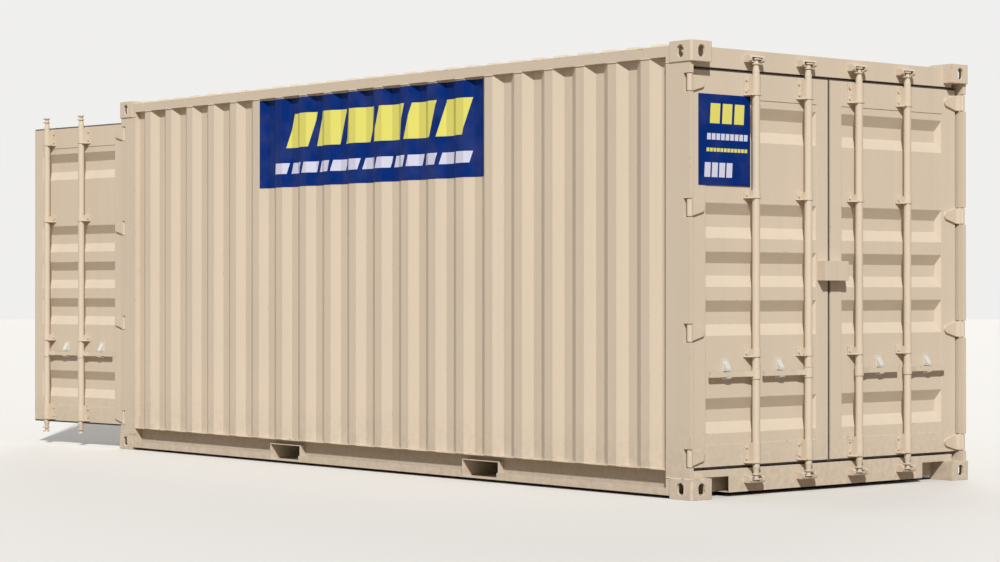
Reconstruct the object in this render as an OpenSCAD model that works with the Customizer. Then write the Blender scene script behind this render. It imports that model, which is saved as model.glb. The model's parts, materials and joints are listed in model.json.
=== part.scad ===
// Twenty foot shipping container with a pair of doors at each end.
// Millimetres. X runs along the box to the front doors and Z up.
// The origin lies on the ground under the middle of the box.

/* [Box] */
// Length over the corner castings
box_l = 6058; // [5400:1:7000]
// Width over the corner castings
box_w = 2438; // [2300:1:2600]
// Height over the corner castings
box_h = 2591; // [2400:1:2900]
// How far the posts, walls and rails lie inside the castings' side faces
side_inset = 6; // [4:0.5:8]

/* [Castings] */
// Length of a corner casting
cast_l = 178; // [170:1:190]
// Width of a corner casting
cast_w = 162; // [154:1:170]
// Height of a corner casting
cast_h = 118; // [110:1:126]
// Thickness of a casting's upright walls
cast_t = 15; // [12:1:20]
// Thickness of a casting's outer horizontal wall
cast_cap = 28; // [22:1:32]
// Length of the slot in a casting's top or bottom face
slot_l = 124; // [110:1:130]
// Width of the slot in a casting's top or bottom face
slot_w = 63.5; // [55:0.5:68]
// Length of the slot in a casting's side and end faces
port_l = 72; // [64:1:80]
// Width of the slot in a casting's side and end faces
port_w = 50; // [44:1:56]
// Radius of a casting's outer upright edge
cast_r = 14; // [8:1:20]

/* [Posts] */
// Depth of a post along the box
post_l = 196; // [186:1:206]
// Width of the nose beside the doors
nose_w = 28; // [26:1:32]
// Depth of the nose from its front to the door stop
nose_l = 110; // [104:1:120]
// Width of a post across the box
post_w = 78; // [68:1:90]
// How far a post's front lies behind the castings' end faces
post_setback = 17; // [12:1:20]
// Thickness of the post plate
post_t = 6; // [4:0.5:8]

/* [Side walls] */
// Distance from one corrugation to the next
rib_pitch = 278.5; // [260:0.5:300]
// Width of a rib's flat outer face
rib_face = 72; // [50:1:90]
// Width of a sloped rib side
rib_slope = 68; // [50:1:80]
// Depth of the corrugation
rib_depth = 36; // [20:1:40]
// Thickness of wall, roof and door sheet
sheet_t = 2; // [1.5:0.1:4]
// How far the outer ribs lie behind the rails' faces
rib_inset = 2; // [0:0.5:4]

/* [Rails] */
// Side of the square top rail
top_rail = 60; // [50:1:80]
// Wall of the square top rail
top_rail_t = 3; // [2:0.5:5]
// How far the top rail lies below the castings' top faces
top_rail_drop = 24; // [18:1:30]
// Height of a bottom rail
low_rail_h = 146; // [135:1:160]
// Underside of the bottom rails, sills and cross members over the ground
base_z = 18; // [12.5:0.5:25]
// Depth of the bottom rail's outer channel
low_rail_d = 60; // [42:1:66]
// Height of the bottom rail's outer lip
low_lip_h = 43; // [30:1:60]
// Plate of the bottom rail
low_rail_t = 4.5; // [3:0.5:6]
// Seam between lengths that meet end to end
seam = 0.5; // [0.2:0.1:1]

/* [Roof] */
// Distance from one roof corrugation to the next
hump_pitch = 209; // [190:0.5:260]
// Flat top width of a roof corrugation
hump_face = 91; // [60:1:110]
// Width of a roof corrugation's slope
hump_slope = 20; // [12:1:36]
// Height of a roof corrugation
hump_h = 20; // [10:1:21]
// Flat roof border beside the ends of the corrugations
hump_border = 16; // [10:1:60]

/* [Floor] */
// Thickness of the floor boards
floor_t = 28; // [20:1:32]
// Number of boards across the floor
board_n = 8; // [4:1:12]
// Gap between floor boards
board_gap = 1.5; // [0.5:0.5:4]
// Number of cross members
cross_n = 18; // [12:1:24]
// Flange width of a cross member
cross_w = 45; // [35:1:60]
// Plate of a cross member
cross_t = 4; // [3:0.5:6]
// Distance between the middles of the two fork pockets
pocket_span = 2080; // [1900:1:2300]
// Clear width of a fork pocket
pocket_w = 340; // [300:1:380]
// How far the two fork pockets lie off the middle, towards the front
pocket_shift = 115; // [0:1:130]
// How far a fork pocket's mouth lies behind the bottom rail's lip
pocket_set = 16; // [0:1:40]
// Plate of a fork pocket
pocket_t = 6; // [4:0.5:8]

/* [Door opening] */
// Top of the sill over the ground
sill_top = 159; // [150:1:170]
// How far the header's underside lies below the castings' top faces
head_h = 140; // [136:1:260]
// How far the faces of doors, header and sill lie behind the castings' end faces
face_setback = 67; // [62:1:76]
// Depth of header and sill along the box
beam_d = 100; // [80:1:120]
// Plate of header and sill
beam_t = 4; // [3:0.5:6]
// How far the header's top lies below the castings' top faces
head_drop = 28; // [24:1:40]
// Width of the cut-out in the sill beside each bottom casting
sill_cut = 205; // [100:1:230]
// Lower edge of the sill's face over the ground
sill_low = 24; // [18:1:40]

/* [Doors] */
// Thickness of a door leaf's frame
leaf_t = 50; // [40:1:54]
// Gap between a door leaf and the post's nose
hinge_gap = 17; // [14:1:22]
// Gap between the two leaves of an end
meet_gap = 24; // [20:1:36]
// Gap over a door leaf
head_gap = 18; // [16:1:34]
// Gap under a door leaf
sill_gap = 18; // [16:1:34]
// Width of the hinge side stile
hinge_stile = 128; // [110:1:150]
// Width of the stile where the leaves meet
meet_stile = 98; // [80:1:120]
// Height of the top rail of a leaf
leaf_top_rail = 151; // [120:1:170]
// Height of the bottom rail of a leaf
leaf_low_rail = 123; // [90:1:136]
// Wall of the leaf frame's tubes
leaf_tube_t = 3; // [2:0.5:5]
// How far the panel's sheet lies behind the face of the leaf's frame
panel_set = 3; // [0:0.5:6]
// Distance from the panel's edges to the middle of the nearest trough
trough_edge = 145; // [130:1:180]
// Width of a trough's slope
trough_slope = 69; // [50:1:72]
// Width of a trough's flat bottom
trough_flat = 71; // [50:1:74]
// Run of the slope at a trough's ends
trough_end = 30; // [15:1:60]
// How far the gasket stands out over and under a leaf
gasket_out = 11; // [8:1:14]
// How far the gasket stands out at a leaf's upright edges
gasket_side = 9.5; // [4:0.5:10]
// Thickness of the gasket
gasket_t = 40; // [14:1:42]

/* [Hinges] */
// Hinge pin behind the castings' end faces
pin_back = 35; // [32:1:37]
// Hinge pin inside the posts' side faces
pin_in = 16; // [14:0.5:17]
// Radius of a hinge pin
pin_r = 10; // [8:0.5:12]
// Radial clearance on pins and rods
run_gap = 0.3; // [0.2:0.05:0.4]
// Radius of a hinge knuckle
knuckle_r = 17; // [15:0.5:18]
// Height of a hinge knuckle
knuckle_h = 96; // [80:1:110]
// Clearance over and under a knuckle
knuckle_gap = 5; // [5:0.5:8]
// Thickness of the lugs over and under a knuckle
lug_t = 12; // [8:1:16]
// Thickness of a hinge blade
blade_t = 12; // [10:1:13]
// Reach of a hinge blade over the leaf
blade_l = 110; // [80:1:125]
// Number of hinges on a leaf
hinge_n = 4; // [3:1:5]
// Lowest hinge over the leaf's lower edge
hinge_foot = 57; // [54:1:120]
// Top hinge under the leaf's upper edge
hinge_head = 79; // [60:1:140]
// Opening angle of the back doors at rest
back_open = 95.5; // [0:0.5:260]

/* [Lock gear] */
// Radius of a lock rod
rod_r = 23; // [17:0.5:23]
// Lock rod behind the castings' end faces
rod_back = 28; // [27:0.5:30]
// Outer lock rod from the box's middle
rod_outer = 667; // [640:1:690]
// Inner lock rod from the box's middle
rod_inner = 224; // [205:1:260]
// Reach of a cam from its rod's axis
cam_reach = 36; // [30:0.5:36]
// Thickness of a cam's two prongs
prong_t = 8; // [6:0.5:10]
// Gap between a cam's two prongs
prong_gap = 20; // [18:0.5:26]
// Radius of the neck between rod and cam
neck_r = 14; // [11:0.5:16]
// How far a cam's round root stands out from its neck
cam_root = 8; // [4:0.5:9]
// How far the upper prong's middle plane lies over the header's underside
cam_rise = 64; // [52:1:68]
// Width of a keeper
keeper_w = 124; // [116:1:140]
// Plate of a keeper
keeper_t = 9; // [7:0.5:10]
// Width of a rod guide's plate
guide_w = 128; // [120:1:150]
// Height of the long rod guides at the ends of a rod
guide_long = 118; // [90:1:125]
// Height of the short rod guides
guide_short = 46; // [30:1:60]
// Wall of a rod guide round the rod
guide_t = 3.5; // [3:0.5:3.5]
// Thickness of a rod guide's plate
guide_plate = 5; // [4:0.5:7]
// Radius of the bolt heads on the rod guides
bolt_r = 9; // [6:0.5:11]
// Height of the bolt heads on the rod guides
bolt_h = 7; // [5:0.5:9]
// How far the handles lie below the middle of the panel's lower flat
handle_drop = 44; // [20:1:60]
// Lower short rod guide over the panel's lower edge
guide_low = 520; // [450:1:600]
// Upper short rod guide under the panel's upper edge
guide_high = 547; // [480:1:600]
// Reach of a handle from its rod
handle_l = 368; // [340:1:400]
// Height of a handle bar
handle_h = 30; // [22:1:36]
// Thickness of a handle bar
handle_t = 10; // [8:0.5:12]
// Clearance between a stowed handle and the leaf
handle_gap = 23.5; // [12:0.5:29]
// Distance of a handle's catch from its rod
catch_at = 215; // [180:1:240]

/* [Lock box] */
// Width of one half of the lock box
lockbox_w = 104; // [80:1:120]
// Height of the lock box
lockbox_h = 116; // [90:1:140]
// Depth of the lock box
lockbox_d = 62; // [50:1:64]
// Middle of the lock box over the ground
lockbox_z = 1298; // [1250:1:1340]
// Plate of the lock box
lockbox_t = 5; // [4:0.5:8]

/* [Hidden] */
$fn = 48;
eps = 0.01;
paint = "#d3c2a4";
half_l = box_l / 2;
half_w = box_w / 2;
side_y = half_w - side_inset;
post_x = half_l - post_setback;
post_back = post_x - post_l;
stop_x = post_x - nose_l;
nose_y = side_y - nose_w;
post_y = side_y - post_w;
cast_x = half_l - cast_l;
cast_y = half_w - cast_w;
face_x = half_l - face_setback;
beam_x = face_x - beam_d;
rail_top = box_h - top_rail_drop;
wall_top = rail_top - top_rail;
wall_low = base_z + low_rail_h;
pocket_xs = [pocket_shift - pocket_span / 2, pocket_shift + pocket_span / 2];
rib_y = side_y - rib_inset;
web_y = side_y - low_rail_d;
head_top = box_h - head_drop;
head_bottom = box_h - head_h;
floor_z = sill_top - floor_t;
pin_x = half_l - pin_back;
pin_y = pin_in - side_y;
rod_x = half_l - rod_back;
leaf_back = face_x - leaf_t;
panel_x = face_x - panel_set;
leaf_low = sill_top + sill_gap;
leaf_high = head_bottom - head_gap;
leaf_in = meet_gap / 2;
leaf_out = nose_y - hinge_gap;
panel_in = leaf_in + meet_stile;
panel_out = leaf_out - hinge_stile;
panel_low = leaf_low + leaf_low_rail;
panel_high = leaf_high - leaf_top_rail;
notch_h = knuckle_h + 2 * knuckle_gap;
hinge_run = leaf_high - hinge_head - leaf_low - hinge_foot;
hinge_zs = [for (i = [0 : hinge_n - 1]) leaf_low + hinge_foot + i * hinge_run / (hinge_n - 1)];
rod_ys = [-rod_outer, -rod_inner];
// A trough at every pitch except the second from each end, where the panel stays flat
trough_n = floor((panel_high - panel_low - 2 * trough_edge) / rib_pitch) + 1;
row_zs = [for (k = [0 : trough_n - 1]) panel_high - trough_edge - k * rib_pitch];
trough_zs = [for (k = [0 : trough_n - 1]) if (k != 1 && k != trough_n - 2) row_zs[k]];
handle_z = row_zs[trough_n - 2] - handle_drop;
rib_n = floor(1 + 2 * (post_back - rib_face / 2 - rib_slope) / rib_pitch);
hump_n = floor(1 + 2 * (beam_x - hump_face / 2 - hump_slope) / hump_pitch);
cam_high = head_bottom + cam_rise;
cam_low = sill_top - cam_rise;
prong_step = prong_gap + prong_t;
guide_zs = [panel_low + guide_low, panel_high - guide_high];
rod_low = leaf_low + 10;
rod_high = leaf_high - 10;
corners = [[1, -1], [1, 1], [-1, -1], [-1, 1]];

// Moves a piece drawn at the front left corner to another corner
module at_corner(end, side) {
    if (end > 0 && side < 0) children();
    if (end > 0 && side > 0) mirror([0, 1, 0]) children();
    if (end < 0 && side < 0) mirror([1, 0, 0]) children();
    if (end < 0 && side > 0) rotate([0, 0, 180]) children();
}

// Hangs a piece of the front left leaf on another corner, opened by an angle
module on_leaf(end, side) {
    at_corner(end, side)
        translate([pin_x, pin_y, 0])
            rotate([0, 0, end > 0 ? 0 : -back_open])
                translate([-pin_x, -pin_y, 0]) children();
}

// Box between two corners
module block(low, high) {
    translate(low) cube(high - low);
}

// Flat slot outline with round ends along X
module slot(l, w) {
    square([l - w, w], center = true);
    for (s = [-1, 1]) translate([s * (l - w) / 2, 0]) circle(d = w);
}

// Outline extruded along Y, drawn with X across and Z up
module along_y(y0, y1) {
    translate([0, y1, 0]) rotate([90, 0, 0]) linear_extrude(y1 - y0) children();
}

// Outline extruded along X, drawn with Y across and Z up
module along_x(x0, x1) {
    translate([x0, 0, 0]) rotate([90, 0, 90]) linear_extrude(x1 - x0) children();
}

// Pressed pocket with four sloped sides, standing on z = 0
module pressing(l, w, slope_l, slope_w, h) {
    intersection() {
        along_y(-w / 2, w / 2)
            polygon([[-l / 2, 0], [l / 2, 0], [l / 2 - slope_l, h], [slope_l - l / 2, h]]);
        along_x(-l / 2, l / 2)
            polygon([[-w / 2, 0], [w / 2, 0], [w / 2 - slope_w, h], [slope_w - w / 2, h]]);
    }
}

// Plan of a side wall's sheet line, offset outwards by d
function rib_line(d) = concat(
    [[-post_back, rib_y - rib_depth + d]],
    [for (i = [0 : rib_n - 1], p = [0 : 3])
        let (x = (i - (rib_n - 1) / 2) * rib_pitch)
        [x + [-rib_face / 2 - rib_slope, -rib_face / 2, rib_face / 2, rib_face / 2 + rib_slope][p],
         rib_y + d - (p == 0 || p == 3 ? rib_depth : 0)]],
    [[post_back, rib_y - rib_depth + d]]);

function reversed(list) = [for (i = [len(list) - 1 : -1 : 0]) list[i]];

module side_wall(side) {
    color(paint) mirror([0, side < 0 ? 1 : 0, 0])
        translate([0, 0, wall_low]) linear_extrude(wall_top - wall_low)
            polygon(concat(rib_line(0), reversed(rib_line(-sheet_t))));
}

module top_rail_tube(side) {
    color(paint)
    along_x(-post_back, post_back)
        translate([side * (side_y - top_rail / 2), rail_top - top_rail / 2]) difference() {
            square(top_rail, center = true);
            square(top_rail - 2 * top_rail_t, center = true);
        }
}

// Channel open to the outside, with an upturned lip at its foot
module low_rail_section() {
    translate([web_y - low_rail_t, base_z]) square([low_rail_t, low_rail_h]);
    translate([web_y - eps, base_z + low_rail_h - low_rail_t]) square([low_rail_d + eps, low_rail_t]);
    translate([web_y - eps, base_z]) square([low_rail_d + eps, low_rail_t]);
    translate([side_y - low_rail_t, base_z]) square([low_rail_t, low_lip_h]);
}

// What is left of the channel over a fork pocket
module low_rail_bridge() {
    translate([web_y - low_rail_t, floor_z]) square([low_rail_t, wall_low - floor_z]);
    translate([web_y - eps, wall_low - low_rail_t]) square([low_rail_d + eps, low_rail_t]);
}

// Three lengths between the fork pockets and a bridge over each pocket
module low_rail(side) {
    edge = pocket_w / 2 + pocket_t;
    color(paint) mirror([0, side < 0 ? 1 : 0, 0]) {
        along_x(-post_back, pocket_xs[0] - edge) low_rail_section();
        along_x(pocket_xs[0] + edge, pocket_xs[1] - edge) low_rail_section();
        along_x(pocket_xs[1] + edge, post_back) low_rail_section();
        for (x = pocket_xs) along_x(x - edge + seam, x + edge - seam) low_rail_bridge();
    }
}

module roof() {
    sheet_low = rail_top;
    run = side_y - hump_border;
    hump_l = hump_face + 2 * hump_slope;
    color(paint) {
        difference() {
            block([-beam_x, -side_y, sheet_low], [beam_x, side_y, sheet_low + sheet_t]);
            for (i = [0 : hump_n - 1])
                translate([(i - (hump_n - 1) / 2) * hump_pitch, 0, sheet_low + sheet_t / 2])
                    cube([hump_l - 2 * sheet_t, 2 * run - 2 * sheet_t, 2 * sheet_t], center = true);
            for (c = corners)
                translate([c[0] * half_l, c[1] * half_w, sheet_low])
                    cube([2 * cast_l, 2 * cast_w, 4 * sheet_t], center = true);
        }
        for (i = [0 : hump_n - 1])
            translate([(i - (hump_n - 1) / 2) * hump_pitch, 0, sheet_low]) difference() {
                pressing(hump_l, 2 * run, hump_slope, hump_slope, hump_h);
                translate([0, 0, -sheet_t])
                    pressing(hump_l, 2 * run, hump_slope, hump_slope, hump_h);
            }
    }
}

module floor_boards() {
    width = 2 * (web_y - low_rail_t) - 2 * board_gap;
    board = (width - (board_n - 1) * board_gap) / board_n;
    color("#8a6a45") difference() {
        for (i = [0 : board_n - 1])
            translate([-beam_x + board_gap, -width / 2 + i * (board + board_gap), floor_z])
                cube([2 * (beam_x - board_gap), board, floor_t]);
        for (c = corners) at_corner(c[0], c[1])
            block([post_back - board_gap, -side_y, 0], [half_l, -post_y + board_gap, box_h]);
    }
}

module cross_members() {
    inner = web_y - low_rail_t;
    span = 2 * (post_back - cross_w);
    color("#6d655a")
    for (i = [0 : cross_n - 1]) let (x = -span / 2 + i * span / (cross_n - 1))
        if (min([for (p = pocket_xs) abs(x - p)]) > pocket_w / 2 + pocket_t + cross_w)
            along_y(-inner, inner) translate([x - cross_w / 2, base_z]) difference() {
                square([cross_w, floor_z - base_z]);
                translate([cross_t, cross_t]) square([cross_w, floor_z - base_z - 2 * cross_t]);
            }
}

module fork_pockets() {
    mouth = side_y - pocket_set;
    color(paint) for (x = pocket_xs) {
        along_y(-mouth, mouth) translate([x, (base_z + floor_z) / 2]) difference() {
            square([pocket_w + 2 * pocket_t, floor_z - base_z], center = true);
            square([pocket_w, floor_z - base_z - 2 * pocket_t], center = true);
        }
        along_y(-side_y, side_y) translate([x - pocket_w / 2 - pocket_t, base_z])
            square([pocket_w + 2 * pocket_t, pocket_t]);
    }
}

// Plan of a post with a nose beside the doors, at the front left corner
module post_outline(t) {
    polygon([
        [post_x - t, -side_y + t], [post_x - t, -nose_y - t], [stop_x - t, -nose_y - t],
        [stop_x - t, -post_y - t], [post_back + t, -post_y - t], [post_back + t, -side_y + t]
    ]);
}

// The post's back strip runs past the castings to close the ends of the rails
module post_strip(z0, z1) {
    difference() {
        block([post_back, -side_y, z0], [cast_x, -side_y + top_rail, z1]);
        block([post_back + post_t, -side_y + post_t, z0 - 1],
              [cast_x - post_t, -side_y + top_rail - post_t, z1 + 1]);
    }
}

module post() {
    lug_back = pin_x - 2 * knuckle_r;
    color(paint) {
        difference() {
            translate([0, 0, cast_h]) linear_extrude(box_h - 2 * cast_h) difference() {
                post_outline(0);
                post_outline(post_t);
            }
            for (z = hinge_zs)
                block([lug_back, -side_y - 1, z - notch_h / 2], [post_x + 1, -nose_y + 1, z + notch_h / 2]);
        }
        for (z = hinge_zs) {
            for (s = [-1, 1])
                translate([0, 0, z + s * (notch_h + lug_t) / 2]) linear_extrude(lug_t, center = true)
                    polygon([[lug_back - post_t, -side_y], [post_x, -side_y],
                             [post_x, -nose_y], [lug_back - post_t, -nose_y]]);
            block([lug_back - post_t, -side_y, z - notch_h / 2 - eps],
                  [lug_back, -nose_y, z + notch_h / 2 + eps]);
            translate([pin_x, pin_y, z]) cylinder(r = pin_r, h = notch_h + 2 * lug_t, center = true);
        }
        post_strip(base_z, cast_h - seam);
        post_strip(box_h - cast_h + seam, rail_top);
    }
}

// Corner casting of the front left corner, drawn with its slotted cap at z = 0 and its body above
module casting() {
    wall = cast_h - cast_t;
    translate([half_l, -half_w, 0]) difference() {
        translate([-cast_l, 0, 0]) linear_extrude(cast_h) {
            square([cast_l - cast_r, cast_w]);
            translate([0, cast_r]) square([cast_l, cast_w - cast_r]);
            translate([cast_l - cast_r, cast_r]) circle(r = cast_r);
        }
        block([-cast_l + cast_t, cast_t, cast_cap], [-cast_t, cast_w - cast_t, wall]);
        translate([-cast_l / 2, cast_w / 2, -1]) linear_extrude(cast_cap + 2) slot(slot_l, slot_w);
        translate([-cast_l / 2, cast_t + 1, cast_h / 2]) rotate([90, 0, 0])
            linear_extrude(cast_t + 2) rotate(90) slot(port_l, port_w);
        translate([-cast_t - 1, cast_w / 2, cast_h / 2]) rotate([90, 0, 90])
            linear_extrude(cast_t + 2) rotate(90) slot(port_l, port_w);
    }
}

module bottom_castings() {
    color(paint) for (c = corners) at_corner(c[0], c[1]) casting();
}

module top_castings() {
    color(paint) for (c = corners) at_corner(c[0], c[1])
        translate([0, 0, box_h]) mirror([0, 0, 1]) casting();
}

// Hollow beam across the box
module beam(y, z0, z1) {
    along_y(-y, y) difference() {
        translate([beam_x, z0]) square([beam_d, z1 - z0]);
        translate([beam_x + beam_t, z0 + beam_t]) square([beam_d - 2 * beam_t, z1 - z0 - 2 * beam_t]);
    }
}

// Keeper that a cam's prongs close on: tongue at z = 0, shelf beyond the cam and a leg at each side
module keeper() {
    hood = prong_step / 2 + prong_t / 2 + knuckle_gap;
    shelf_t = 1.3 * keeper_t;
    front = rod_x + neck_r;
    difference() {
        block([face_x - eps, -keeper_w / 2, -keeper_t / 2], [rod_x, keeper_w / 2, keeper_t / 2]);
        translate([rod_x, 0, 0]) cylinder(r = neck_r + knuckle_gap, h = 2 * keeper_t, center = true);
    }
    for (s = [-1, 1])
        translate([0, s * (keeper_w / 2 - keeper_t), 0]) along_y(-keeper_t, keeper_t)
            polygon([[face_x - eps, -keeper_t / 2], [rod_x, -keeper_t / 2], [front, keeper_t / 2],
                     [front, hood + eps], [face_x - eps, hood + eps]]);
    along_y(-keeper_w / 2, keeper_w / 2)
        polygon([[face_x - eps, hood], [front, hood], [front - shelf_t / 2, hood + shelf_t],
                 [face_x - eps, hood + shelf_t]]);
}

module header() {
    color(paint) {
        beam(post_y, head_bottom, box_h - cast_h);
        beam(cast_y, box_h - cast_h - beam_t, head_top);
        block([beam_x, -cast_y, head_top - eps], [face_x, cast_y, rail_top]);
        for (y = rod_ys, s = [-1, 1]) translate([0, s * y, cam_high - prong_step / 2]) keeper();
    }
}

module sill() {
    cut_y = cast_y - sill_cut;
    color(paint) {
        beam(post_y, cast_h, sill_top);
        beam(cut_y, sill_low, cast_h + beam_t);
        for (s = [-1, 1])
            block([beam_x, min(s * cast_y, s * cut_y), sill_low],
                  [beam_x + beam_t, max(s * cast_y, s * cut_y), cast_h + eps]);
        for (y = rod_ys, s = [-1, 1])
            translate([0, s * y, cam_low + prong_step / 2]) mirror([0, 0, 1]) keeper();
    }
}

// Hinge blade welded to the leaf, with its knuckle on the pin
module hinge_blade(z) {
    tip_r = knuckle_h / 4;
    tip_y = -leaf_out + blade_l - tip_r;
    translate([0, 0, z]) difference() {
        union() {
            translate([pin_x, pin_y, 0]) cylinder(r = knuckle_r, h = knuckle_h, center = true);
            linear_extrude(knuckle_h, center = true)
                polygon([[pin_x - knuckle_r, pin_y], [pin_x, pin_y + knuckle_r],
                         [face_x + blade_t, -leaf_out], [face_x - eps, -leaf_out]]);
            along_x(face_x - eps, face_x + blade_t) {
                polygon([[-leaf_out - eps, -knuckle_h / 2], [tip_y, -tip_r], [tip_y, tip_r],
                         [-leaf_out - eps, knuckle_h / 2]]);
                translate([tip_y, 0]) circle(r = tip_r);
            }
        }
        translate([pin_x, pin_y, 0]) cylinder(r = pin_r + run_gap, h = knuckle_h + 2, center = true);
    }
}

// Hollow leaf frame member
module leaf_tube(y0, y1, z0, z1) {
    difference() {
        block([leaf_back, y0, z0], [face_x, y1, z1]);
        block([leaf_back + leaf_tube_t, y0 + leaf_tube_t, z0 + leaf_tube_t],
              [face_x - leaf_tube_t, y1 - leaf_tube_t, z1 - leaf_tube_t]);
    }
}

// Panel sheet with troughs pressed inwards
module door_panel() {
    trough_h = trough_flat + 2 * trough_slope;
    width = panel_out - panel_in;
    mid = -(panel_out + panel_in) / 2;
    difference() {
        block([panel_x - sheet_t, -panel_out - eps, panel_low - eps],
              [panel_x, -panel_in + eps, panel_high + eps]);
        for (z = trough_zs)
            translate([panel_x, mid, z])
                cube([4 * sheet_t, width - 2 * sheet_t, trough_h - 2 * sheet_t], center = true);
    }
    for (z = trough_zs) translate([panel_x, mid, z]) rotate([0, -90, 0]) difference() {
        pressing(trough_h, width, trough_slope, trough_end, rib_depth);
        translate([0, 0, -sheet_t]) pressing(trough_h, width, trough_slope, trough_end, rib_depth);
    }
}

module door() {
    color(paint) {
        leaf_tube(-leaf_out, -panel_out, leaf_low, leaf_high);
        leaf_tube(-panel_in, -leaf_in, leaf_low, leaf_high);
        leaf_tube(-panel_out - eps, -panel_in + eps, leaf_low, panel_low);
        leaf_tube(-panel_out - eps, -panel_in + eps, panel_high, leaf_high);
        door_panel();
        for (z = hinge_zs) hinge_blade(z);
    }
}

module gasket() {
    color("#1d1c1b")
    translate([leaf_back, 0, 0]) rotate([90, 0, 90]) linear_extrude(gasket_t) difference() {
        translate([-leaf_out - gasket_side, leaf_low - gasket_out])
            square([leaf_out - leaf_in + 2 * gasket_side, leaf_high - leaf_low + 2 * gasket_out]);
        translate([-leaf_out, leaf_low]) square([leaf_out - leaf_in, leaf_high - leaf_low]);
    }
}

// Guide that carries a rod: bolted plate on the leaf, a sleeve round the rod and a tapered flange at its foot
module rod_guide(y, z, h) {
    outer_r = rod_r + run_gap + guide_t;
    long = h > guide_w / 2;
    foot_x = long ? face_x : panel_x;
    plate_x = face_x + guide_plate;
    translate([0, y, z]) difference() {
        union() {
            block([foot_x, -guide_w / 2, -h / 2], [plate_x, guide_w / 2, h / 2]);
            translate([rod_x, 0, 0]) cylinder(r = outer_r, h = h, center = true);
            block([foot_x, -outer_r, -h / 2], [rod_x, outer_r, h / 2]);
            translate([0, 0, -h / 2]) linear_extrude(1.5 * guide_plate)
                polygon([[face_x, -guide_w / 2], [rod_x + 0.7 * rod_r, -outer_r - 1.5 * guide_plate],
                         [rod_x + 0.7 * rod_r, outer_r + 1.5 * guide_plate], [face_x, guide_w / 2]]);
            for (s = [-1, 1], k = long ? [-1, 1] : [0])
                translate([plate_x - eps, s * (guide_w / 2 - 2 * bolt_r), k * (h / 2 - 3 * bolt_r)])
                    rotate([0, 90, 0]) cylinder(r = bolt_r, h = bolt_h, $fn = 6);
        }
        translate([rod_x, 0, 0]) cylinder(r = rod_r + run_gap, h = h + 2, center = true);
    }
}

module rod_guides() {
    color(paint) for (y = rod_ys) {
        for (z = guide_zs) rod_guide(y, z, guide_short);
        rod_guide(y, rod_low + guide_long / 2, guide_long);
        rod_guide(y, rod_high - guide_long / 2, guide_long);
    }
}

// Cam head at the end of a rod, two prongs towards the leaf's free edge
module cam_head() {
    for (s = [-1, 1]) translate([0, 0, s * prong_step / 2]) linear_extrude(prong_t, center = true) {
        circle(r = neck_r + cam_root);
        translate([-neck_r, 0]) square([2 * neck_r, cam_reach * 0.9]);
    }
    cylinder(r = neck_r, h = prong_step, center = true);
}

// Neck from a rod's end, tapering to its cam
module rod_neck(z0, z1) {
    step = (z1 - z0) / 3;
    translate([0, 0, z0]) cylinder(r = rod_r - 2, h = step + eps);
    translate([0, 0, z0 + step]) cylinder(r1 = rod_r - 2, r2 = neck_r, h = 2 * step);
}

module handle() {
    bar_x = face_x + handle_gap - rod_x;
    linear_extrude(handle_h, center = true)
        polygon([[-rod_r / 2, 0], [rod_r / 2, 0], [bar_x + handle_t, -4 * rod_r],
                 [bar_x + handle_t, -handle_l], [bar_x, -handle_l], [bar_x, -4 * rod_r]]);
    cylinder(r = rod_r + 4, h = 2 * handle_h, center = true);
}

module lock_rod(y) {
    high_mid = cam_high - prong_step / 2;
    low_mid = cam_low + prong_step / 2;
    color(paint) translate([rod_x, y, 0]) {
        translate([0, 0, rod_low]) cylinder(r = rod_r, h = rod_high - rod_low);
        rod_neck(rod_high - eps, high_mid - prong_step / 2);
        mirror([0, 0, 1]) rod_neck(-rod_low - eps, -low_mid - prong_step / 2);
        translate([0, 0, high_mid]) cam_head();
        translate([0, 0, low_mid]) cam_head();
        translate([0, 0, handle_z]) handle();
    }
}

// Catch of a stowed handle: plate, packer on the recessed panel, ledge and a sloped keeper over the handle
module handle_catch(y) {
    mid = y - catch_at;
    ledge = handle_z - handle_h / 2 - 0.3;
    over = handle_z + handle_h / 2 + 4;
    front = face_x + handle_gap + handle_t;
    out = max(mid - 30, -panel_out + seam);
    in = min(mid + 30, -panel_in - seam);
    block([face_x, mid - 30, ledge - 14], [face_x + 4, mid + 30, over + 66]);
    if (out < in) block([panel_x, out, ledge - 14], [face_x + eps, in, over + 66]);
    block([face_x, mid - 20, ledge - 6], [front, mid + 20, ledge]);
    along_y(mid - 18, mid + 18)
        polygon([[face_x, over], [front, over], [front, over + 14],
                 [face_x + 4, over + 58], [face_x, over + 58]]);
}

module catches() {
    color("#dedbd3") for (y = rod_ys) handle_catch(y);
}

// Half of the lock box, open to the other half
module lock_box() {
    gap = 2 * seam;
    translate([face_x, -gap, lockbox_z]) color(paint) difference() {
        block([0, -lockbox_w, -lockbox_h / 2], [lockbox_d, 0, lockbox_h / 2]);
        block([-1, -lockbox_w + lockbox_t, -lockbox_h / 2 - 1],
              [lockbox_d - lockbox_t, 1, lockbox_h / 2 - lockbox_t]);
    }
}

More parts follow.
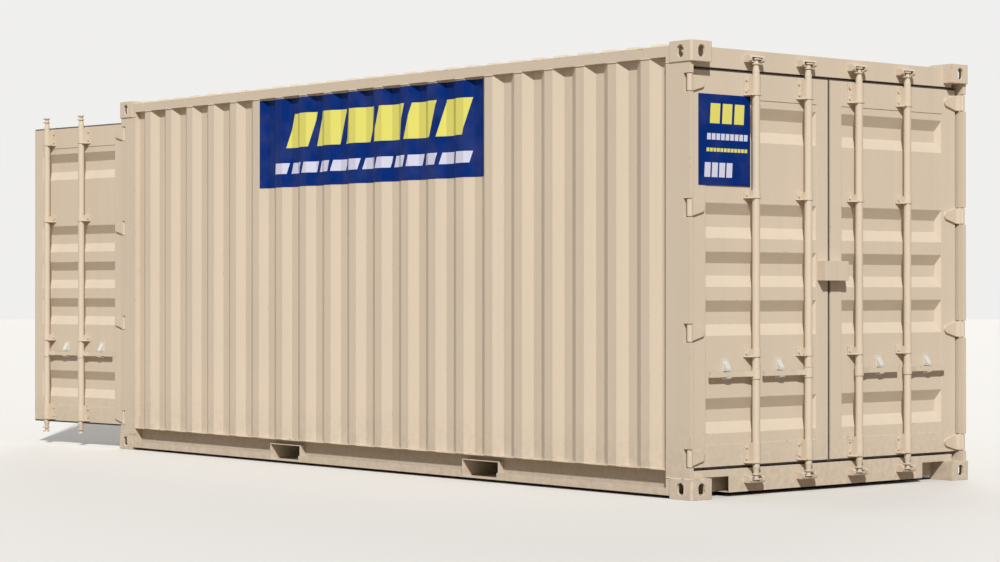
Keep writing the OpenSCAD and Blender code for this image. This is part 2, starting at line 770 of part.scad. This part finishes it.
floor_boards();  // floor
side_wall(-1);  // left_wall
side_wall(1);  // right_wall
roof();
top_rail_tube(-1);  // left_top_rail
top_rail_tube(1);  // right_top_rail
low_rail(-1);  // left_bottom_rail
low_rail(1);  // right_bottom_rail
cross_members();
fork_pockets();
at_corner(1, -1) post();  // front_left_post
at_corner(1, 1) post();  // front_right_post
at_corner(-1, -1) post();  // back_left_post
at_corner(-1, 1) post();  // back_right_post
top_castings();
bottom_castings();
header();  // front_header
rotate([0, 0, 180]) header();  // back_header
sill();  // front_sill
rotate([0, 0, 180]) sill();  // back_sill
on_leaf(1, -1) door();  // front_left_door
on_leaf(1, 1) door();  // front_right_door
on_leaf(-1, -1) door();  // back_left_door
on_leaf(-1, 1) door();  // back_right_door
on_leaf(1, -1) gasket();  // front_left_gasket
on_leaf(1, 1) gasket();  // front_right_gasket
on_leaf(-1, -1) gasket();  // back_left_gasket
on_leaf(-1, 1) gasket();  // back_right_gasket
on_leaf(1, -1) rod_guides();  // front_left_rod_guides
on_leaf(1, 1) rod_guides();  // front_right_rod_guides
on_leaf(-1, -1) rod_guides();  // back_left_rod_guides
on_leaf(-1, 1) rod_guides();  // back_right_rod_guides
on_leaf(1, -1) catches();  // front_left_catches
on_leaf(1, 1) catches();  // front_right_catches
on_leaf(-1, -1) catches();  // back_left_catches
on_leaf(-1, 1) catches();  // back_right_catches
on_leaf(1, -1) lock_rod(-rod_outer);  // front_left_outer_rod
on_leaf(1, 1) lock_rod(-rod_outer);  // front_right_outer_rod
on_leaf(-1, -1) lock_rod(-rod_outer);  // back_left_outer_rod
on_leaf(-1, 1) lock_rod(-rod_outer);  // back_right_outer_rod
on_leaf(1, -1) lock_rod(-rod_inner);  // front_left_inner_rod
on_leaf(1, 1) lock_rod(-rod_inner);  // front_right_inner_rod
on_leaf(-1, -1) lock_rod(-rod_inner);  // back_left_inner_rod
on_leaf(-1, 1) lock_rod(-rod_inner);  // back_right_inner_rod
on_leaf(1, -1) lock_box();  // front_left_lock_box
on_leaf(1, 1) lock_box();  // front_right_lock_box
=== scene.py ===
"""Looks of the shipping container: paint, rubber, boards, weld beads, sign panels and light."""

import json
import math

import bmesh
import bpy
from mathutils import Matrix, Vector


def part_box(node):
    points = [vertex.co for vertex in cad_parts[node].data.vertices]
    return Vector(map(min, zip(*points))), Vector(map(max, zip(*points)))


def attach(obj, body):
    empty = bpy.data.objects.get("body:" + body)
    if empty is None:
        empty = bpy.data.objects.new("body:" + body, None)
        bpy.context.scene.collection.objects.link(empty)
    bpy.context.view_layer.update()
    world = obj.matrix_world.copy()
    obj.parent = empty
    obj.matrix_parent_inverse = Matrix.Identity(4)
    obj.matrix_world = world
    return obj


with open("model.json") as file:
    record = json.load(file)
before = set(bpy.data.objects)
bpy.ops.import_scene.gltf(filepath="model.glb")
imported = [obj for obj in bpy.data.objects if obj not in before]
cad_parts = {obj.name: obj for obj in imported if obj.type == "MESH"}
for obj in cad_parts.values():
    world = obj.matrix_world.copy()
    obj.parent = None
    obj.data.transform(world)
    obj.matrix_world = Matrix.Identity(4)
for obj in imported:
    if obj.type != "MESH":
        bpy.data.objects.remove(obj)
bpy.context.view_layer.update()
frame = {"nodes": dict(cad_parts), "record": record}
nodes = frame["nodes"]

# Colours, linear
TAN = (0.620, 0.535, 0.428, 1)
DUST = (0.50, 0.44, 0.35, 1)
ZINC = (0.66, 0.65, 0.62, 1)
GRIME = (0.27, 0.22, 0.16, 1)
RUST = (0.17, 0.075, 0.032, 1)
COATING = (0.075, 0.068, 0.060, 1)
RUBBER = (0.065, 0.048, 0.040, 1)
WOOD = (0.30, 0.19, 0.105, 1)
WOOD_DARK = (0.13, 0.075, 0.038, 1)
BLUE = (0.001, 0.022, 0.165, 1)
YELLOW = (0.69, 0.665, 0.156, 1)
WHITE = (0.60, 0.62, 0.78, 1)
FLOOR = (0.64, 0.635, 0.62, 1)
FLOOR_BOUNCE = (0.29, 0.23, 0.165, 1)
BACKDROP = (0.87, 0.865, 0.85, 1)

# Light: an even sky, the sun as the photograph's shadows show it, and soft fills from the far side and
# the left, each as (strength, width in degrees, where it comes from)
AMBIENT = 0.22
SKY_TINT = (0.97, 0.98, 1.0, 1)
SUN = (3.95, 2.5, (0.60, -0.475, 0.645))
FILL = (1.3, 40.0, (-0.64, 0.70, 0.32))
LEFT_FILL = (0.85, 60.0, (-0.86, -0.30, 0.42))
SUN_TINT = (1.0, 0.975, 0.945)

# Sizes and places, metres
NEAR = 0.0005
BEAD_R = 0.0035
FILM = 0.0015
SIDE_SIGN_X = (-1.211, 1.194)
SIDE_SIGN_Z = (1.889, 2.495)
DOOR_SIGN_Y = (-1.098, -0.677)
DOOR_SIGN_Z = (1.780, 2.300)
SIGN_SLANT = 0.08
SIGN_T = 0.003
SIGN_EDGE = SIGN_T / 4
RIVET_R = 0.006
RIVET_INSET = 3 * RIVET_R
RIVET_FLAT = 0.4
SCREW_R = 0.007
SCREW_TOP_R = 0.7 * SCREW_R
SCREW_H = 0.001
SCREW_SIDES = 10
SCREW_ROWS = 17
SCREWS_ON_BOARD = (0.2, 0.8)
BOARDS = 8
NOSE = 0.028
WORN_EDGE = 0.006
FLOOR_R = 90.0
FLOOR_SIDES = 96
VIEW_END = 300.0
BEVEL_SAMPLES = 4

# Made-up motif of the signs: bands of slanted bars as (low, high, start, end, number of bars, colour),
# where the first four are parts of the film
SIDE_BANDS = ((0.44, 0.82, 0.09, 0.91, 6, YELLOW), (0.15, 0.27, 0.06, 0.94, 13, WHITE))
DOOR_BANDS = (
    (0.68, 0.90, 0.16, 0.86, 3, YELLOW),
    (0.50, 0.57, 0.12, 0.92, 9, WHITE),
    (0.37, 0.41, 0.12, 0.92, 12, YELLOW),
    (0.09, 0.25, 0.10, 0.66, 4, WHITE),
)
BAR_SHARE = 0.80

# Camera found from the castings in the photograph
CAMERA_AT = (12.812, -10.952, 1.174)
CAMERA_TURN = (90.25, 0.0, 49.61)
FOCAL_PX = 2452.8
PHOTO_W = 1000
SENSOR = 36.0


class Nodes:
    """Node tree of one material, with short ways to add and join nodes."""

    def __init__(self, name):
        self.material = bpy.data.materials.new(name)
        self.material.use_nodes = True
        self.tree = self.material.node_tree
        self.shader = self.tree.nodes["Principled BSDF"]
        self.place = self.add("ShaderNodeTexCoord").outputs["Object"]

    def add(self, kind, values=None, **settings):
        made = self.tree.nodes.new(kind)
        for key, value in settings.items():
            setattr(made, key, value)
        for key, value in (values or {}).items():
            self.feed(made.inputs[key], value)
        return made

    def feed(self, socket, value):
        if isinstance(value, bpy.types.NodeSocket):
            self.tree.links.new(value, socket)
        else:
            socket.default_value = value

    def set(self, **values):
        for key, value in values.items():
            self.feed(self.shader.inputs[key.replace("_", " ")], value)

    def noise(self, scale, detail=3.0, stretch=None, roughness=0.5):
        where = self.place
        if stretch:
            where = self.add("ShaderNodeMapping", {"Vector": where, "Scale": stretch}).outputs[0]
        return self.add(
            "ShaderNodeTexNoise",
            {"Vector": where, "Scale": scale, "Detail": detail, "Roughness": roughness},
        ).outputs["Fac"]

    def span(self, value, low, high, to_low=0.0, to_high=1.0):
        return self.add(
            "ShaderNodeMapRange",
            {"Value": value, "From Min": low, "From Max": high, "To Min": to_low, "To Max": to_high},
        ).outputs[0]

    def math(self, operation, a, b=0.0):
        return self.add("ShaderNodeMath", {0: a, 1: b}, operation=operation).outputs[0]

    def mix(self, factor, a, b):
        return self.add("ShaderNodeMix", {"Factor": factor, 6: a, 7: b}, data_type="RGBA").outputs[2]

    def axes(self):
        return self.add("ShaderNodeSeparateXYZ", {"Vector": self.place}).outputs

    def softened(self, radius):
        """Normal rounded over the edges."""
        return self.add("ShaderNodeBevel", {"Radius": radius}, samples=BEVEL_SAMPLES).outputs[0]

    def edges(self, radius):
        """1 on edges and corners, 0 on flats."""
        soft = self.softened(radius)
        sharp = self.add("ShaderNodeNewGeometry").outputs["Normal"]
        dot = self.add("ShaderNodeVectorMath", {0: soft, 1: sharp}, operation="DOT_PRODUCT")
        return self.span(dot.outputs["Value"], 0.995, 0.90)

    def relief(self, parts, round_edge=0.0):
        """Normal from (height, strength, distance) layers over softened edges."""
        normal = self.softened(round_edge) if round_edge else None
        for height, strength, distance in parts:
            bump = self.add(
                "ShaderNodeBump", {"Height": height, "Strength": strength, "Distance": distance}
            )
            if normal:
                self.feed(bump.inputs["Normal"], normal)
            normal = bump.outputs[0]
        self.set(Normal=normal)


def worn_paint(name, colour, chips, grain, round_edge):
    """Enamel with cloudy fading, rain streaks, dirt towards the ground and chipped edges."""
    m = Nodes(name)
    cloud = m.span(m.noise(0.8, 4.0), 0.3, 0.7)
    fine = m.noise(26.0, 6.0, roughness=0.65)
    streak = m.span(m.noise(1.0, 5.0, stretch=(14.0, 14.0, 0.5)), 0.52, 0.78)
    tint = m.mix(m.math("MULTIPLY", cloud, 0.22), colour, DUST)
    tint = m.mix(m.math("MULTIPLY", streak, 0.20), tint, DUST)
    low = m.span(m.axes()["Z"], 0.45, 0.0)
    dirt = m.math("MULTIPLY", low, m.span(fine, 0.35, 0.75))
    tint = m.mix(m.math("MULTIPLY", dirt, 0.45), tint, GRIME)
    worn = m.math("MULTIPLY", m.edges(WORN_EDGE), m.span(fine, 0.60 - chips, 0.66 - chips))
    tint = m.mix(worn, tint, RUST)
    m.set(Base_Color=tint, Specular_IOR_Level=0.12)
    m.set(Roughness=m.span(m.math("ADD", fine, cloud), 0.6, 1.4, 0.62, 0.80))
    m.relief(
        [(m.noise(1.7, 2.0), 0.20, 0.006), (m.noise(grain, 3.0), 0.10, 0.0012)], round_edge
    )
    return m.material


def underbody():
    """Thick dark coating under the floor."""
    m = Nodes("underframe")
    patch = m.span(m.noise(3.5, 5.0), 0.35, 0.7)
    m.set(Base_Color=m.mix(m.math("MULTIPLY", patch, 0.5), COATING, GRIME))
    m.set(Roughness=m.span(patch, 0.0, 1.0, 0.55, 0.85))
    m.relief([(m.noise(60.0, 5.0), 0.35, 0.002)], 0.002)
    return m.material


def rubber():
    """Extruded door seal with dusty faces."""
    m = Nodes("gasket")
    dust = m.span(m.noise(7.0, 5.0), 0.48, 0.8)
    m.set(Base_Color=m.mix(m.math("MULTIPLY", dust, 0.10), RUBBER, DUST), Roughness=0.72)
    m.relief([(m.noise(1.0, 2.0, stretch=(420.0, 420.0, 420.0)), 0.12, 0.0006)], 0.003)
    return m.material


def boards():
    """Plywood boards with grain along the box, tyre scuffs and worn tops."""
    m = Nodes("floor_boards")
    grain = m.noise(1.0, 6.0, stretch=(1.6, 70.0, 70.0), roughness=0.6)
    broad = m.noise(1.0, 2.0, stretch=(0.7, 6.6, 0.7))
    scuff = m.span(m.noise(4.0, 6.0, stretch=(0.5, 2.0, 1.0)), 0.55, 0.72)
    tint = m.mix(m.span(grain, 0.35, 0.68), WOOD_DARK, WOOD)
    tint = m.mix(m.span(broad, 0.35, 0.65, 0.0, 0.45), tint, DUST)
    tint = m.mix(m.math("MULTIPLY", scuff, 0.5), tint, GRIME)
    m.set(Base_Color=tint, Roughness=m.span(grain, 0.3, 0.7, 0.5, 0.75))
    m.relief([(grain, 0.35, 0.0015)], 0.002)
    return m.material


def zinc():
    """Pale spangled coating of the handle catches."""
    m = Nodes("plated_catch")
    cells = m.add("ShaderNodeTexVoronoi", {"Vector": m.place, "Scale": 110.0}).outputs["Distance"]
    m.set(Base_Color=m.mix(m.span(cells, 0.1, 0.6, 0.0, 0.35), ZINC, DUST), Metallic=0.3)
    m.set(Roughness=m.span(cells, 0.0, 0.6, 0.32, 0.55))
    m.relief([(m.noise(90.0, 3.0), 0.15, 0.001)], 0.002)
    return m.material


def sign_film(name, axis, across, up, bands):
    """Blue film with bands of slanted bars."""
    m = Nodes(name)
    parts = m.axes()
    v = m.span(parts["Z"], *up)
    u = m.math("ADD", m.span(parts[axis], *across), m.math("MULTIPLY", v, -SIGN_SLANT))
    tint = BLUE
    for low, high, start, end, bars, colour in bands:
        along = m.add(
            "ShaderNodeMapRange",
            {"Value": u, "From Min": start, "From Max": end, "To Max": float(bars)},
            clamp=False,
        ).outputs[0]
        inside = m.math("LESS_THAN", m.math("FRACT", along), BAR_SHARE)
        for value, least, most in ((v, low, high), (along, 0.0, float(bars))):
            inside = m.math("MULTIPLY", inside, m.math("GREATER_THAN", value, least))
            inside = m.math("MULTIPLY", inside, m.math("LESS_THAN", value, most))
        tint = m.mix(inside, tint, colour)
    fade = m.span(m.noise(6.0, 5.0), 0.45, 0.8)
    m.set(Base_Color=m.mix(m.math("MULTIPLY", fade, 0.05), tint, DUST))
    m.set(Roughness=0.55, Specular_IOR_Level=0.05)
    m.relief([(m.noise(120.0, 2.0), 0.06, 0.0008)])
    return m.material


finish = {
    "body_paint": worn_paint("body_paint", TAN, 0.0, 240.0, 0.003),
    "casting_paint": worn_paint("casting_paint", TAN, 0.05, 90.0, 0.005),
    "lock_gear_paint": worn_paint("lock_gear_paint", TAN, 0.04, 160.0, 0.002),
    "plated_catch": zinc(),
    "underframe": underbody(),
    "floor_boards": boards(),
    "gasket": rubber(),
}
slot_of = {row["node"]: row["material_slot"] for row in frame["record"]["subparts"]}
for name, part in nodes.items():
    part.data.materials.clear()
    part.data.materials.append(finish[slot_of[name]])


def add_piece(name, data, body, material):
    """New piece that rides on a CAD body."""
    piece = bpy.data.objects.new(name, data)
    bpy.context.scene.collection.objects.link(piece)
    piece.data.materials.append(material)
    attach(piece, body)


def mesh_of(name, points, faces):
    """Closed mesh with its faces turned outwards."""
    data = bpy.data.meshes.new(name)
    data.from_pydata(points, [], faces)
    bm = bmesh.new()
    bm.from_mesh(data)
    bmesh.ops.recalc_face_normals(bm, faces=bm.faces)
    bm.to_mesh(data)
    bm.free()
    return data


def bead(name, lines, body):
    """Weld beads along lines of points."""
    data = bpy.data.curves.new(name, "CURVE")
    data.dimensions = "3D"
    data.bevel_depth = BEAD_R
    data.bevel_resolution = 1
    data.use_fill_caps = True
    for points in lines:
        spline = data.splines.new("POLY")
        spline.points.add(len(points) - 1)
        for at, p in zip(spline.points, points):
            at.co = (*p, 1)
    add_piece(name, data, body, finish["body_paint"])


def sheet_line(node, side):
    """Outer line of a side wall's sheet as (x, y), from the frame's own points."""
    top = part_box(node)[1].z
    outer = {}
    for v in nodes[node].data.vertices:
        if top - v.co.z < NEAR:
            x = round(v.co.x, 4)
            outer[x] = max(side * v.co.y, outer.get(x, 0.0))
    return [(x, side * y) for x, y in sorted(outer.items())]


def cut_line(line, low, high):
    """The part of a line of (x, y) between two values of x."""

    def y_at(x):
        for (x0, y0), (x1, y1) in zip(line, line[1:]):
            if x0 <= x <= x1:
                return y0 + (y1 - y0) * (x - x0) / (x1 - x0)

    inner = [(x, y) for x, y in line if low < x < high]
    return [(low, y_at(low)), *inner, (high, y_at(high))]


def wall_welds(side_name, side):
    """Beads where a wall's sheet meets the rails over and under it."""
    line = sheet_line(f"{side_name}_wall", side)
    low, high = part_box(f"{side_name}_wall")
    heights = (low.z + BEAD_R / 2, high.z - BEAD_R / 2)
    bead(
        f"{side_name}_wall_welds",
        [[(x, y + side * BEAD_R / 2, z) for x, y in line] for z in heights],
        "container",
    )


def side_sign():
    """Film that follows the ribs of the left wall, closed along its rim."""
    line = cut_line(sheet_line("left_wall", -1), *SIDE_SIGN_X)
    count = len(line)
    points = [(x, y - gap, z) for gap in (FILM, FILM / 3) for z in SIDE_SIGN_Z for x, y in line]
    low_front, high_front, low_back, high_back = (k * count for k in range(4))
    faces = []
    ring = (low_front, high_front, high_back, low_back)
    for a, b in zip(ring, ring[1:] + ring[:1]):
        faces += [(a + i, a + i + 1, b + i + 1, b + i) for i in range(count - 1)]
    for i in (0, count - 1):
        faces.append(tuple(k + i for k in ring))
    add_piece(
        "side_sign",
        mesh_of("side_sign", points, faces),
        "container",
        sign_film("side_sign", "X", SIDE_SIGN_X, SIDE_SIGN_Z, SIDE_BANDS),
    )


def mesh_from(name, build):
    """Mesh made by a function that fills a bmesh."""
    bm = bmesh.new()
    build(bm)
    data = bpy.data.meshes.new(name)
    bm.to_mesh(data)
    bm.free()
    for face in data.polygons:
        face.use_smooth = len(face.vertices) < 5 and face.area < RIVET_R**2
    return data


def rivet(bm, at):
    """Small round head, flattened along X."""
    place = Matrix.Translation(at) @ Matrix.Diagonal((RIVET_FLAT, 1, 1, 1))
    bmesh.ops.create_uvsphere(bm, u_segments=12, v_segments=6, radius=RIVET_R, matrix=place)


def door_sign():
    """Thin riveted plate on the left front leaf, resting on the leaf's frame."""
    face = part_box("front_left_lock_box")[0].x
    (y0, y1), (z0, z1) = DOOR_SIGN_Y, DOOR_SIGN_Z
    middle = Vector((face + SIGN_T / 2, (y0 + y1) / 2, (z0 + z1) / 2))

    def build(bm):
        size = Matrix.Diagonal((SIGN_T, y1 - y0, z1 - z0, 1))
        made = bmesh.ops.create_cube(bm, size=1, matrix=Matrix.Translation(middle) @ size)
        edges = list({e for v in made["verts"] for e in v.link_edges})
        bmesh.ops.bevel(bm, geom=edges, offset=SIGN_EDGE, segments=2, affect="EDGES")
        for y in (y0 + RIVET_INSET, y1 - RIVET_INSET):
            for z in (z0 + RIVET_INSET, middle.z, z1 - RIVET_INSET):
                rivet(bm, (face + SIGN_T, y, z))

    add_piece(
        "door_sign",
        mesh_from("door_sign", build),
        "front_left_leaf",
        sign_film("door_sign", "Y", DOOR_SIGN_Y, DOOR_SIGN_Z, DOOR_BANDS),
    )


def post_welds():
    """Beads round the posts where they stand on the castings and carry those above."""
    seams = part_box("bottom_castings")[1].z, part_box("top_castings")[0].z
    lines = []
    for end in ("front", "back"):
        for hand in ("left", "right"):
            low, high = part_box(f"{end}_{hand}_post")
            back, front = (low.x, high.x) if end == "front" else (high.x, low.x)
            outer, turn = (low.y, NOSE) if hand == "left" else (high.y, -NOSE)
            for z in seams:
                lines.append([(back, outer, z), (front, outer, z), (front, outer + turn, z)])
    bead("post_welds", lines, "container")


def floor_screws():
    """Flat screw heads in rows across the boards."""
    low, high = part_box("floor")
    board = (high.y - low.y) / BOARDS
    step = (high.x - low.x) / SCREW_ROWS
    points, faces = [], []
    for row in range(SCREW_ROWS):
        for k in range(2 * BOARDS):
            x = low.x + (row + 0.5) * step
            y = low.y + (k // 2 + SCREWS_ON_BOARD[k % 2]) * board
            first = len(points)
            for rim, z in ((SCREW_R, high.z), (SCREW_TOP_R, high.z + SCREW_H)):
                for i in range(SCREW_SIDES):
                    a = 2 * math.pi * i / SCREW_SIDES
                    points.append((x + rim * math.cos(a), y + rim * math.sin(a), z))
            for i in range(SCREW_SIDES):
                j = (i + 1) % SCREW_SIDES
                faces.append((first + i, first + j, first + SCREW_SIDES + j, first + SCREW_SIDES + i))
            faces.append(tuple(first + SCREW_SIDES + i for i in range(SCREW_SIDES)))
            faces.append(tuple(first + i for i in reversed(range(SCREW_SIDES))))
    add_piece(
        "floor_screws",
        mesh_of("floor_screws", points, faces),
        "container",
        finish["underframe"],
    )


for side_name, side in (("left", -1), ("right", 1)):
    wall_welds(side_name, side)
side_sign()
door_sign()
post_welds()
floor_screws()


def seen_directly(tree):
    """1 for rays from the camera, also by way of gloss or glass, and 0 for light on the part."""
    path = tree.nodes.new("ShaderNodeLightPath")
    seen = path.outputs["Is Camera Ray"]
    for kind in ("Is Glossy Ray", "Is Transmission Ray"):
        either = tree.nodes.new("ShaderNodeMath")
        either.operation = "MAXIMUM"
        tree.links.new(seen, either.inputs[0])
        tree.links.new(path.outputs[kind], either.inputs[1])
        seen = either.outputs[0]
    return seen


def stage():
    """Pale floor, soft light and the photograph's camera."""
    scene = bpy.context.scene
    scene.view_settings.view_transform = "Standard"

    bpy.ops.mesh.primitive_circle_add(
        vertices=FLOOR_SIDES, radius=FLOOR_R, fill_type="NGON", location=(0, 0, 0)
    )
    floor = bpy.context.object
    floor.name = "studio_floor"
    m = Nodes("studio_floor")
    m.set(Base_Color=m.mix(seen_directly(m.tree), FLOOR_BOUNCE, FLOOR), Roughness=0.9)
    floor.data.materials.append(m.material)

    world = bpy.data.worlds.new("studio")
    scene.world = world
    world.use_nodes = True
    tree = world.node_tree
    sky = tree.nodes["Background"]
    sky.inputs["Color"].default_value = SKY_TINT
    sky.inputs["Strength"].default_value = AMBIENT
    shown = tree.nodes.new("ShaderNodeBackground")
    shown.inputs["Color"].default_value = BACKDROP
    choose = tree.nodes.new("ShaderNodeMixShader")
    tree.links.new(seen_directly(tree), choose.inputs[0])
    tree.links.new(sky.outputs[0], choose.inputs[1])
    tree.links.new(shown.outputs[0], choose.inputs[2])
    tree.links.new(choose.outputs[0], tree.nodes["World Output"].inputs["Surface"])

    lamps = {"key": SUN, "fill": FILL, "left_fill": LEFT_FILL}
    for name, (strength, width, source) in lamps.items():
        light = bpy.data.lights.new(name, "SUN")
        light.energy = strength
        light.angle = math.radians(width)
        light.color = SUN_TINT
        lamp = bpy.data.objects.new(name, light)
        lamp.rotation_euler = Vector(source).to_track_quat("Z", "Y").to_euler()
        scene.collection.objects.link(lamp)

    camera = bpy.data.objects.new("camera", bpy.data.cameras.new("camera"))
    camera.location = CAMERA_AT
    camera.rotation_euler = [math.radians(a) for a in CAMERA_TURN]
    camera.data.sensor_fit = "HORIZONTAL"
    camera.data.sensor_width = SENSOR
    camera.data.lens = FOCAL_PX / PHOTO_W * SENSOR
    camera.data.clip_end = VIEW_END
    scene.collection.objects.link(camera)
    scene.camera = camera


stage()
